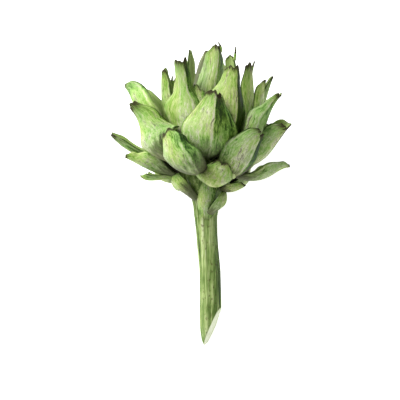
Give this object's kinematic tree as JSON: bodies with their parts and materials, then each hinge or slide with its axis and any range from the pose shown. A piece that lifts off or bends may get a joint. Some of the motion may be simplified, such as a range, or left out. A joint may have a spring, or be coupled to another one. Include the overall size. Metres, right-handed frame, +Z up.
{
  "type": "globe artichoke",
  "caption": "Fresh globe artichoke with overlapping fleshy green bracts and a slant-cut stem, lying on its side.",
  "frame": {"origin": "Middle of the bounding box at table level; Z is 0 where the artichoke touches the table.", "axes": "+Z up, +Y along the length from the cut stem towards the tip of the head, +X to the right of that."},
  "size_m": [0.1172, 0.1898, 0.0912],
  "materials": {
    "bract": "waxy matt leaf",
    "stem": "matt ribbed skin",
    "heart": "pale matt leaf"
  },
  "bodies": {
    "root": {"stem": "stem", "heart": "heart", "bract_crown_back_left": "bract", "bract_crown_back_right": "bract", "bract_crown_front": "bract", "bract_crown_near_left": "bract", "bract_crown_near_right": "bract", "bract_high_far_1": "bract", "bract_high_far_2": "bract", "bract_high_far_3": "bract", "bract_high_hidden_front": "bract", "bract_high_hidden_left": "bract", "bract_high_left": "bract", "bract_high_right": "bract", "bract_middle_far_1": "bract", "bract_middle_far_2": "bract", "bract_middle_far_3": "bract", "bract_middle_far_4": "bract", "bract_middle_front": "bract", "bract_middle_left": "bract", "bract_middle_right": "bract", "bract_outer_far_1": "bract", "bract_outer_far_2": "bract", "bract_outer_far_3": "bract", "bract_outer_far_4": "bract", "bract_outer_front": "bract", "bract_outer_left": "bract", "bract_outer_right": "bract", "bract_skirt_far_1": "bract", "bract_skirt_far_2": "bract", "bract_skirt_far_3": "bract", "bract_skirt_left": "bract", "bract_skirt_right": "bract", "bract_stem_far_1": "bract", "bract_stem_front": "bract", "bract_stem_left": "bract", "bract_stem_right": "bract", "bract_upper_behind_right": "bract", "bract_upper_far_1": "bract", "bract_upper_far_2": "bract", "bract_upper_far_3": "bract", "bract_upper_far_left": "bract", "bract_upper_far_right": "bract", "bract_upper_left": "bract", "bract_upper_low": "bract", "bract_upper_right": "bract", "bract_wide_back_left": "bract", "bract_wide_back_right": "bract", "bract_wide_far_left": "bract", "bract_wide_far_right": "bract", "bract_wide_left": "bract", "bract_wide_right": "bract", "bract_wide_under_left": "bract", "bract_wide_under_right": "bract"}
  },
  "joints": []
}
